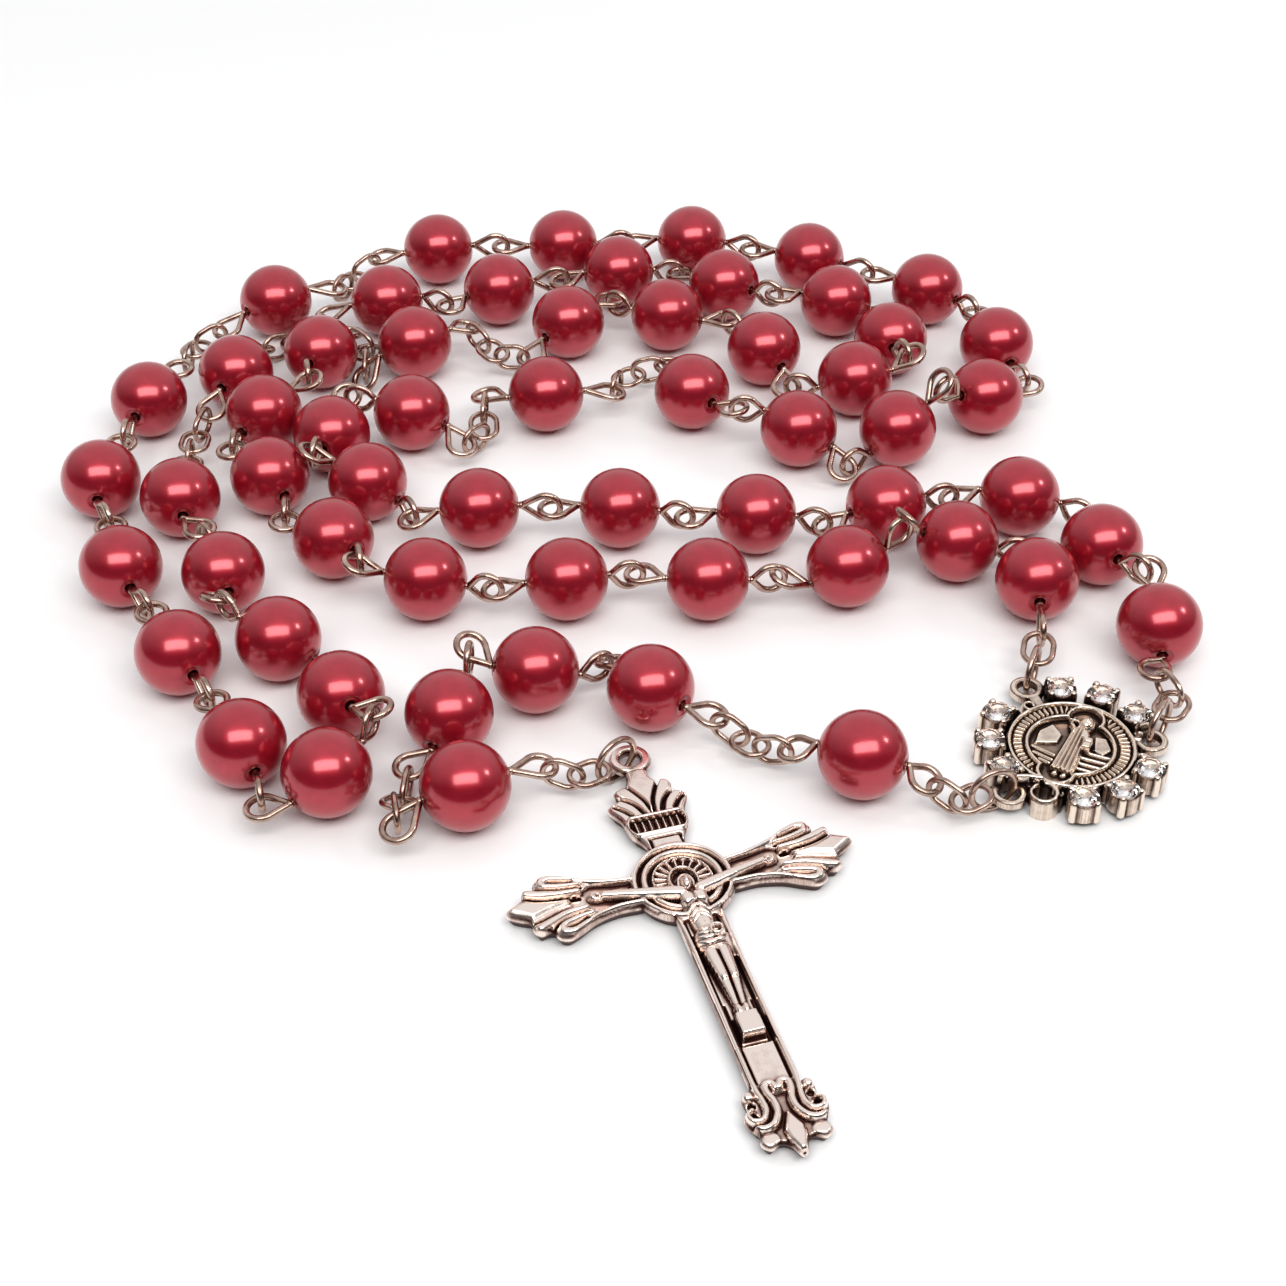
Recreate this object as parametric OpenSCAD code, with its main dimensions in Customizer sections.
// Rosary lying on a table: five decades of round beads on hooked wire pins,
// joined by short lengths of oval chain, with a centre medal, a pendant of
// five beads and a cast crucifix.

/* [Beads] */
// Diameter of every bead
bead_d = 8; // [7.8:0.1:8]
// Diameter of the hole through a bead
bore_d = 1; // [0.9:0.05:1.1]
// Diameter of the dimple at each end of the hole
dimple_d = 1.9; // [1.6:0.1:2]

/* [Pins] */
// Diameter of the wire of a pin
pin_wire_d = 0.65; // [0.55:0.05:0.7]
// Radius of an eye, to the middle of its wire
eye_r = 1.375; // [1.3:0.025:1.4]
// Distance from the bead's surface to the point where an eye opens
neck = 0.2; // [0.1:0.05:0.3]

/* [Chain] */
// Diameter of the wire of a chain link
link_wire_d = 0.56; // [0.5:0.02:0.6]
// Radius of a link's round ends, to the middle of the wire
link_end_r = 1.36; // [1.3:0.02:1.4]
// Straight length between a link's round ends
link_straight = 0.9; // [0.8:0.05:1]

/* [Rings] */
// Diameter of the wire of a jump ring
ring_wire_d = 0.6; // [0.5:0.05:0.65]
// Radius of a jump ring, to the middle of its wire
ring_r = 2.1; // [2:0.05:2.15]

/* [Medal] */
// Diameter of the round plate
plate_d = 12; // [11.6:0.1:12.2]
// Thickness of the plate under its rim
plate_t = 1.6; // [1.4:0.1:1.8]
// Height of the rim above the plate
rim_h = 0.4; // [0.2:0.1:0.5]
// Diameter of each crystal
crystal_d = 2.4; // [2.2:0.1:2.5]
// Height of each prong setting
cup_h = 2.4; // [2.2:0.1:2.6]
// Distance from the middle of the medal to each crystal
crystal_ring_r = 7.3; // [7.2:0.1:7.4]

/* [Crucifix] */
// Thickness of the cross
cross_t = 1.8; // [1.6:0.1:2]
// Distance from the middle of the cross to the tip of each arm
arm_l = 15.3; // [15:0.1:15.5]
// Width of an arm
arm_w = 2.6; // [2.4:0.1:3]
// Distance from the middle of the cross to the foot's tip
shaft_l = 29.6; // [29:0.1:30]
// Width of the shaft
shaft_w = 4.2; // [4:0.1:4.6]

/* [Hidden] */

up = [0, 0, 1];
bead_r = bead_d / 2;
mouth = bead_r + neck;
// Reach of a plain eye, from its mouth to the middle of the wire at its tip
eye_reach = 2.8 * eye_r;
facets = 32;

// Places of the beads, in the order in which they are strung from the medal.
// The third and fourth decades start at the far side of their chains.
decade_1 = [[51.5, -8], [48, 4.5], [41, 12.5], [27.5, 11], [14.5, 9.5],
            [1, 10.5], [-13, 10.5], [-24.5, 15], [-29, 23.5], [-21, 27.5]];
decade_2 = [[8.5, 31.5], [19.5, 24.5], [29.8, 24.5], [39.6, 30.6], [42, 41],
            [35.5, 52.5], [22.5, 59.5], [9, 63.5], [-6, 62.5], [-20.5, 61.5]];
decade_3 = [[-43, 12.3], [-37, 0], [-30.5, -10], [-23.9, -17.9], [-24.1, -28.3],
            [-32, -24.5], [-39.5, -12], [-47, 1], [-51.5, 15.5], [-49, 30]];
decade_4 = [[-5, 45.5], [6, 47], [16.5, 40], [26, 34], [30.5, 42],
            [25, 50], [12.5, 53.5], [0.5, 56.5], [-13, 52.5], [-25.5, 50]];
decade_5 = [[41, -1], [34, 5], [23, 1], [9.5, -1], [-4, -1],
            [-17.5, -1], [-27, 5.5], [-34.5, 16], [-36.5, 27.5], [-31.8, 39.3]];
decades = [decade_1, decade_2, decade_3, decade_4, decade_5];
father_beads = [[-7, 31], [-38, 50], [-40.5, 35.3], [-21.7, 41.2]];
pendant_beads = [[22.5, -26], [4, -17], [-6.5, -14.5], [-14, -20.5], [-12, -30]];

// Side on which each eye stands off the straight line to the next bead, in
// degrees: 0 is to the left of the string, 90 above it and 180 to its right.
leans = [[140, 200, 195, -15, 0, 0, -15, 30, 5],
         [150, 210, 90, 195, 180, 0, 0, 0, 0],
         [90, 150, -35, 30, -15, 0, 0, 0, 0],
         [0, 0, 195, 155, 200, 25, 200, 0, 0],
         [195, 100, -15, 195, -15, 25, -15, 0, 155]];

// Contact points of each run of chain, from the medal's end to its far end.
medal_route_right = [[50.5, -18.8, 2.4], [51.8, -16.9, 2.6], [50.6, -14.6, 3.2]];
medal_route_left = [[39.8, -11.2, 2.4], [40.4, -8.6, 3]];
medal_route_pendant = [[32.8, -29.2, 2.4], [30.7, -30.3, 2.1], [28.6, -29, 3]];
chain_routes = [
    [[-15, 24.5, 2.3], [-13.4, 26.4, 1.9], [-13.6, 28.9, 2.5], [-13.5, 31.1, 3]],
    [[0.1, 33.4, 3], [0.8, 36, 2.2], [2.7, 37.9, 2.3], [5.2, 37.8, 3]],
    [[-27.8, 60.5, 2.9], [-29.8, 59, 2], [-30.6, 56.3, 2], [-31.6, 54.4, 3]],
    [[-43.7, 44.7, 3], [-45.6, 43.7, 2.2], [-46.4, 41.3, 2.4], [-46.6, 38.8, 3.1]],
    [[-28.9, 45.2, 2.2], [-27.1, 43.7, 1.7], [-27.1, 41.3, 2], [-27.1, 39.1, 1.5]],
    [[-15.6, 43.7, 3.8], [-14.1, 42.1, 3.2], [-12.3, 40.2, 2.7], [-9.8, 39.8, 3]],
    [[-32.6, 48.2, 2.4], [-34, 46, 1.4], [-36.4, 44.6, 1.4], [-38.3, 42.7, 2.3]],
    [[-42.6, 28.1, 3.2], [-43.4, 25.5, 2.6], [-43.5, 22.6, 2.6], [-43.4, 19.8, 3.2]]];
pendant_routes = [
    [[15.9, -24.2, 3], [13.7, -23.2, 2], [12, -21.3, 1.8], [10.2, -20.5, 3]],
    [[-17.2, -26.9, 2.3], [-17.5, -29, 1.4], [-18.1, -30.9, 2.5], [-17.7, -33.1, 2.8]],
    [[-4.8, -27.2, 3.3], [-2.6, -27.4, 2.4], [-0.2, -26, 2.4]]];

// Middle of the medal, and the hole of each of its three scroll loops
medal_centre = [41.5, -22.5];
loop_holes = [[48.8, -21.4], [38.6, -14.2], [35.3, -28.3]];
// Height of the loops' middle, so that an upright jump ring passes beneath
loop_z = 1.35;
// Middle of each group of three crystals, and the step within a group
crystal_groups = [60, 178, 300];
crystal_step = 30;
crystal_bed_z = cup_h - 0.6;

// The crucifix lies turned on the table, with its foot at the edge of the part
cross_tilt = 17;
tip_r = 0.5;
half_length = decades[1][7][1] + bead_r;
cross_centre = [6.8, (shaft_l - tip_r) * cos(cross_tilt) + tip_r - half_length];
// Bail: its distance from the middle of the cross, its hole and its underside
bail_y = 16;
bail_hole_d = 1.8;
bail_z = 0.95;
cross_bail = cross_centre + bail_y * [-sin(cross_tilt), cos(cross_tilt)];

function unit(v) = v / norm(v);
function flat_side(v) = unit(cross(up, v));
function at_bead(p) = [p[0], p[1], bead_r];
function last(list, back = 1) = list[len(list) - back];

// Point where the upright eye of bead b hangs in the flat eye of bead a.
// On a long pitch it lies on the straight line, on a short one beside it.
straight_pitch = 13.8;
least_arm = 5.9;
flat_arm = 6.3;
upright_arm = 7.4;
function link_point(a, b, lean) =
    let (pitch = norm(b - a), along = (b - a) / pitch)
    let (aside = cos(lean) * flat_side(along) + sin(lean) * up)
    let (c = (flat_arm * flat_arm + pitch * pitch - upright_arm * upright_arm)
             / (2 * flat_arm * pitch))
    pitch >= straight_pitch
        ? b - min(mouth + eye_reach, pitch - least_arm) * along
        : a + flat_arm * (c * along + sqrt(1 - c * c) * aside);
function link_points(beads, leans) =
    [for (i = [0:len(leans) - 1])
        link_point(at_bead(beads[i]), at_bead(beads[i + 1]), leans[i])];

// Middle of an eye that holds the end of a run of chain
eye_play = 0.95;
function eye_on_chain(tip, before, gap = 0) = tip + (eye_play + gap) * unit(tip - before);
// The string is open where the fourth run of chain meets the third decade:
// the eye stands this much further from the end of the chain than a held eye
open_gap = 1.8;

module place(origin, along, side) {
    z = cross(along, side);
    multmatrix([[along[0], side[0], z[0], origin[0]],
                [along[1], side[1], z[1], origin[1]],
                [along[2], side[2], z[2], origin[2]],
                [0, 0, 0, 1]])
        children();
}

module rod(from, to, d) {
    along = unit(to - from);
    // A hair off the rod's own line, so that an upright rod has a side as well
    side = flat_side(along + [0.001, 0, 0]);
    place(from, along, unit(side - along * (side * along)))
        rotate([0, 90, 0])
            cylinder(h = norm(to - from), d = d, $fn = facets);
}

// Teardrop eye of wire that opens at a mouth and closes round a middle point
module eye(from, middle, flat) {
    overlap = 0.08;
    leg_d = 0.97 * pin_wire_d;
    twist_d = 1.15 * pin_wire_d;
    reach = norm(middle - from);
    along = (middle - from) / reach;
    side = flat ? flat_side(along) : cross(along, flat_side(along));
    spread = asin(eye_r / reach);
    place(from, along, side) {
        translate([reach, 0, 0])
            rotate([0, 0, -90 - spread])
                rotate_extrude(angle = 180 + 2 * spread, $fn = 2 * facets)
                    translate([eye_r, 0])
                        circle(d = pin_wire_d, $fn = facets);
        // The legs run a little way into the ring's ends, and are a hair thinner
        for (turn = [-spread, spread])
            rotate([0, 0, turn])
                rotate([0, 90, 0])
                    cylinder(h = reach * cos(spread) + overlap, d = leg_d, $fn = facets);
        sphere(d = twist_d, $fn = facets);
    }
}

// Straight wire through a bead, with an eye at each end
module pin(bead, from, to, from_eye = undef, to_eye = undef,
           from_flat = false, to_flat = true) {
    axis = unit(to - from);
    near = bead - mouth * axis;
    far = bead + mouth * axis;
    rod(near, far, pin_wire_d);
    eye(near, is_undef(from_eye) ? from + eye_r * unit(near - from) : from_eye, from_flat);
    eye(far, is_undef(to_eye) ? far + (eye_reach - eye_r) * unit(to - far) : to_eye, to_flat);
}

module bead(middle, from, to) {
    dimple = (dimple_d - bore_d) / 2;
    place(middle, unit(to - from), flat_side(to - from))
        rotate([0, 90, 0])
            difference() {
                sphere(d = bead_d, $fn = 2 * facets);
                cylinder(h = bead_d + 1, d = bore_d, center = true, $fn = facets);
                for (end = [0, 180])
                    rotate([end, 0, 0])
                        translate([0, 0, bead_r - dimple])
                            cylinder(h = 2 * dimple, d1 = bore_d, d2 = bore_d + 4 * dimple, $fn = facets);
            }
}

module link(a, b, flat) {
    along = unit(b - a);
    side = flat ? flat_side(along) : cross(along, flat_side(along));
    place((a + b) / 2, along, side)
        for (turn = [0, 180])
            rotate([0, 0, turn]) {
                translate([link_straight / 2, 0, 0])
                    rotate([0, 0, -90])
                        rotate_extrude(angle = 180, $fn = 2 * facets)
                            translate([link_end_r, 0])
                                circle(d = link_wire_d, $fn = facets);
                translate([-link_straight / 2, link_end_r, 0])
                    rotate([0, 90, 0])
                        cylinder(h = link_straight, d = link_wire_d, $fn = facets);
            }
}

// Run of links along a route, flat and upright in turn
module links(route, first_flat = false) {
    color("rosybrown")
        for (i = [0:len(route) - 2])
            link(route[i], route[i + 1], first_flat != (i % 2 == 1));
}

// Upright jump ring that hangs in a flat loop and holds the end of a route
ring_z = ring_r + ring_wire_d / 2 + 0.05;
ring_reach = 1.65;

module jump_ring(hole, route_end) {
    toward = unit([route_end[0] - hole[0], route_end[1] - hole[1], 0]);
    color("rosybrown")
        place([hole[0], hole[1], ring_z] + ring_reach * toward, toward, up)
            rotate_extrude($fn = 2 * facets)
                translate([ring_r, 0])
                    circle(d = ring_wire_d, $fn = facets);
}

// A decade is drawn in two halves, each from its first to its last bead
starts = [medal_route_right, chain_routes[1], chain_routes[7],
          chain_routes[5], medal_route_left];
finishes = [chain_routes[0], chain_routes[2], [chain_routes[3][3], chain_routes[3][2]],
            chain_routes[6], chain_routes[4]];
// Number of beads in a half
half = 5;

module decade_beads(d, part) {
    beads = decades[d];
    points = concat([last(starts[d])], link_points(beads, leans[d]), [finishes[d][0]]);
    color("crimson")
        for (i = [part * half:part * half + half - 1])
            bead(at_bead(beads[i]), points[i], points[i + 1]);
}

module decade_pins(d, part) {
    beads = decades[d];
    points = concat([last(starts[d])], link_points(beads, leans[d]), [finishes[d][0]]);
    first_eye = eye_on_chain(last(starts[d]), last(starts[d], 2));
    last_eye = eye_on_chain(finishes[d][0], finishes[d][1], d == 2 ? open_gap : 0);
    end = len(beads) - 1;
    color("rosybrown")
        for (i = [part * half:part * half + half - 1])
            pin(at_bead(beads[i]), points[i], points[i + 1],
                i == 0 ? first_eye : undef, i == end ? last_eye : undef,
                from_flat = i == 0 && d != 4);
}

// Routes that end and start at each of the four beads between the decades
father_routes = [[0, 1], [2, 3], [6, 7], [4, 5]];

module father_bead(n) {
    before = chain_routes[father_routes[n][0]];
    after = chain_routes[father_routes[n][1]];
    color("crimson")
        bead(at_bead(father_beads[n]), last(before), after[0]);
}

module father_pin(n) {
    before = chain_routes[father_routes[n][0]];
    after = chain_routes[father_routes[n][1]];
    color("rosybrown")
        pin(at_bead(father_beads[n]), last(before), after[0],
            eye_on_chain(last(before), last(before, 2)), eye_on_chain(after[0], after[1]),
            from_flat = true);
}

// The pendant's second to fourth bead hang in each other without chain
pendant_leans = [195, 155];
pendant_middle = link_points([for (i = [1:3]) pendant_beads[i]], pendant_leans);
pendant_from = [last(medal_route_pendant), last(pendant_routes[0]), pendant_middle[0],
                pendant_middle[1], last(pendant_routes[1])];
pendant_to = [pendant_routes[0][0], pendant_middle[0], pendant_middle[1],
              pendant_routes[1][0], pendant_routes[2][0]];
pendant_from_eyes = [
    eye_on_chain(last(medal_route_pendant), last(medal_route_pendant, 2)),
    eye_on_chain(last(pendant_routes[0]), last(pendant_routes[0], 2)), undef, undef,
    eye_on_chain(last(pendant_routes[1]), last(pendant_routes[1], 2))];
pendant_to_eyes = [
    eye_on_chain(pendant_routes[0][0], pendant_routes[0][1]), undef, undef,
    eye_on_chain(pendant_routes[1][0], pendant_routes[1][1]),
    eye_on_chain(pendant_routes[2][0], pendant_routes[2][1])];

module pendant_bead(n) {
    color("crimson")
        bead(at_bead(pendant_beads[n]), pendant_from[n], pendant_to[n]);
}

module pendant_pin(n) {
    color("rosybrown")
        pin(at_bead(pendant_beads[n]), pendant_from[n], pendant_to[n],
            pendant_from_eyes[n], pendant_to_eyes[n],
            from_flat = n == 0 || n == 1 || n == 4);
}

module at_crystals() {
    for (group = crystal_groups, i = [-1:1])
        translate(medal_centre)
            rotate(group + i * crystal_step)
                translate([crystal_ring_r, 0])
                    children();
}

module scroll_loop(hole) {
    toward = unit(hole - medal_centre);
    strap = 0.8;
    strap_w = 1.2;
    hole_d = 1.8;
    wall = 0.65;
    sunk = 0.4;
    start = plate_d / 2 - sunk;
    translate([hole[0], hole[1], loop_z - strap / 2])
        difference() {
            cylinder(h = strap, d = hole_d + 2 * wall, $fn = 2 * facets);
            translate([0, 0, -1])
                cylinder(h = strap + 2, d = hole_d, $fn = 2 * facets);
        }
    translate([medal_centre[0], medal_centre[1], loop_z - strap / 2])
        rotate(atan2(toward[1], toward[0]))
            translate([start, -strap_w / 2, 0])
                cube([norm(hole - medal_centre) - hole_d / 2 - start - 0.1, strap_w, strap]);
}

// Simple standing figure in a long robe, in low relief
module robed_figure() {
    lean = -24;
    relief = 0.35;
    translate([medal_centre[0], medal_centre[1], plate_t - 0.1])
        rotate(lean) {
            linear_extrude(relief + 0.1)
                polygon([[-1.5, -3.3], [1.5, -3.3], [1.1, -0.2], [0.9, 1.5], [-0.9, 1.5], [-1.1, -0.2]]);
            translate([0, 2.3, 0])
                cylinder(h = relief + 0.2, d = 1.5, $fn = facets);
        }
}

module medal_plate() {
    color("silver") {
        translate([medal_centre[0], medal_centre[1], 0]) {
            cylinder(h = plate_t, d = plate_d, $fn = 4 * facets);
            for (ring = [[plate_d, 0.5], [8.2, 0.35]])
                translate([0, 0, plate_t - 0.1])
                    difference() {
                        cylinder(h = rim_h + 0.1, d = ring[0], $fn = 4 * facets);
                        translate([0, 0, -1])
                            cylinder(h = rim_h + 2, d = ring[0] - 2 * ring[1], $fn = 4 * facets);
                    }
        }
        robed_figure();
        for (hole = loop_holes)
            scroll_loop(hole);
        at_crystals()
            difference() {
                cylinder(h = cup_h, d = crystal_d + 0.6, $fn = facets);
                translate([0, 0, crystal_bed_z])
                    cylinder(h = cup_h, d = crystal_d + 0.02, $fn = facets);
            }
    }
}

module medal_crystals() {
    girdle_h = 0.5;
    crown_h = 0.45;
    color("lavenderblush")
        at_crystals()
            translate([0, 0, crystal_bed_z]) {
                cylinder(h = girdle_h, d = crystal_d, $fn = facets);
                translate([0, 0, girdle_h])
                    cylinder(h = crown_h, d1 = crystal_d, d2 = 0.6 * crystal_d, $fn = facets);
            }
}

// Outline of the cross, its middle at the origin and its foot towards -Y
module arm_outline() {
    translate([0, -arm_w / 2])
        square([arm_l - 3, arm_w]);
    polygon([[arm_l - 6, -arm_w / 2], [arm_l - 3.2, -2.2], [arm_l, -0.8],
             [arm_l, 0.8], [arm_l - 3.2, 2.2], [arm_l - 6, arm_w / 2]]);
    for (side = [-1, 1])
        translate([arm_l - 4, side * 2.5])
            circle(r = 1.5, $fn = facets);
}

module cross_outline() {
    arm_outline();
    mirror([1, 0])
        arm_outline();
    circle(r = 4.4, $fn = 2 * facets);
    translate([-shaft_w / 2, 6 - shaft_l])
        square([shaft_w, shaft_l - 6]);
    // Foot, with two scrolls on each side and a pointed tip
    for (side = [-1, 1]) {
        translate([side * 2.4, 6.2 - shaft_l])
            circle(r = 1.5, $fn = facets);
        translate([side * 2, 3.8 - shaft_l])
            circle(r = 1.3, $fn = facets);
    }
    polygon([[-1.6, 6 - shaft_l], [-2.4, 2.6 - shaft_l], [-tip_r, tip_r - shaft_l],
             [tip_r, tip_r - shaft_l], [2.4, 2.6 - shaft_l], [1.6, 6 - shaft_l]]);
    translate([0, tip_r - shaft_l])
        circle(r = tip_r, $fn = facets);
    // Head, with a scroll for the title, a fan of leaves, a neck and the bail
    translate([-1.5, 0])
        square([3, bail_y - 3]);
    translate([-3.4, 6.8])
        square([6.8, 2.4]);
    for (side = [-1, 1]) {
        translate([side * 3.4, 8])
            circle(r = 1.3, $fn = facets);
        translate([side * 2.2, 10.8])
            circle(r = 1.3, $fn = facets);
    }
    polygon([[-2.2, 10.5], [2.2, 10.5], [1.4, bail_y - 1], [-1.4, bail_y - 1]]);
    translate([0, bail_y])
        circle(r = 1.9, $fn = 2 * facets);
}

// Figure on the cross in plain rounded forms: arms, head, trunk, cloth and legs
module corpus() {
    skin = cross_t;
    for (side = [-1, 1])
        rod([side * 1, 0.2, skin + 0.2], [side * (arm_l - 5.2), 1.1, skin], 1.1);
    translate([0.4, 1.2, skin + 0.5])
        sphere(r = 1.15, $fn = facets);
    rod([0, 0, skin], [0, -6.5, skin + 0.1], 2.7);
    translate([0, -6.8, skin])
        cylinder(h = 1.1, r = 1.6, $fn = facets);
    rod([-0.3, -6.5, skin], [0, -14.2, skin], 1.9);
    translate([-1.3, -17.6, skin - 0.1])
        cube([2.6, 2.6, 1.2]);
}

module crucifix() {
    color("rosybrown")
        translate([cross_centre[0], cross_centre[1], 0])
            rotate(cross_tilt) {
                difference() {
                    linear_extrude(cross_t)
                        cross_outline();
                    translate([0, bail_y, -1])
                        cylinder(h = cross_t + 2, d = bail_hole_d, $fn = 2 * facets);
                    // The bail stands clear of the table, so that its ring passes beneath
                    translate([-3, bail_y - 2, -1])
                        cube([6, 4, 1 + bail_z]);
                }
                corpus();
            }
}

module crucifix_ring() {
    jump_ring(cross_bail, last(pendant_routes[2]));
}

medal_plate();
medal_crystals();
jump_ring(loop_holes[0], medal_route_right[0]);  // medal_ring_right
jump_ring(loop_holes[1], medal_route_left[0]);  // medal_ring_left
jump_ring(loop_holes[2], medal_route_pendant[0]);  // medal_ring_pendant
links(medal_route_right, first_flat = true);  // medal_links_right
links(medal_route_left, first_flat = true);  // medal_links_left
links(medal_route_pendant, first_flat = true);  // medal_links_pendant
decade_beads(0, 0);  // decade_1a_beads
decade_pins(0, 0);  // decade_1a_pins
decade_beads(0, 1);  // decade_1b_beads
decade_pins(0, 1);  // decade_1b_pins
decade_beads(1, 0);  // decade_2a_beads
decade_pins(1, 0);  // decade_2a_pins
decade_beads(1, 1);  // decade_2b_beads
decade_pins(1, 1);  // decade_2b_pins
decade_beads(2, 0);  // decade_3a_beads
decade_pins(2, 0);  // decade_3a_pins
decade_beads(2, 1);  // decade_3b_beads
decade_pins(2, 1);  // decade_3b_pins
decade_beads(3, 0);  // decade_4a_beads
decade_pins(3, 0);  // decade_4a_pins
decade_beads(3, 1);  // decade_4b_beads
decade_pins(3, 1);  // decade_4b_pins
decade_beads(4, 0);  // decade_5a_beads
decade_pins(4, 0);  // decade_5a_pins
decade_beads(4, 1);  // decade_5b_beads
decade_pins(4, 1);  // decade_5b_pins
father_bead(0);  // father_bead_1
father_pin(0);  // father_pin_1
father_bead(1);  // father_bead_2
father_pin(1);  // father_pin_2
father_bead(2);  // father_bead_3
father_pin(2);  // father_pin_3
father_bead(3);  // father_bead_4
father_pin(3);  // father_pin_4
links(chain_routes[0]);  // chain_1
links(chain_routes[1]);  // chain_2
links(chain_routes[2]);  // chain_3
links(chain_routes[3]);  // chain_4
links(chain_routes[4]);  // chain_5
links(chain_routes[5]);  // chain_6
links(chain_routes[6]);  // chain_7
links(chain_routes[7]);  // chain_8
pendant_bead(0);  // pendant_bead_1
pendant_pin(0);  // pendant_pin_1
pendant_bead(1);  // pendant_bead_2
pendant_pin(1);  // pendant_pin_2
pendant_bead(2);  // pendant_bead_3
pendant_pin(2);  // pendant_pin_3
pendant_bead(3);  // pendant_bead_4
pendant_pin(3);  // pendant_pin_4
pendant_bead(4);  // pendant_bead_5
pendant_pin(4);  // pendant_pin_5
links(pendant_routes[0]);  // pendant_chain_1
links(pendant_routes[1]);  // pendant_chain_2
links(pendant_routes[2]);  // pendant_chain_3
crucifix_ring();
crucifix();
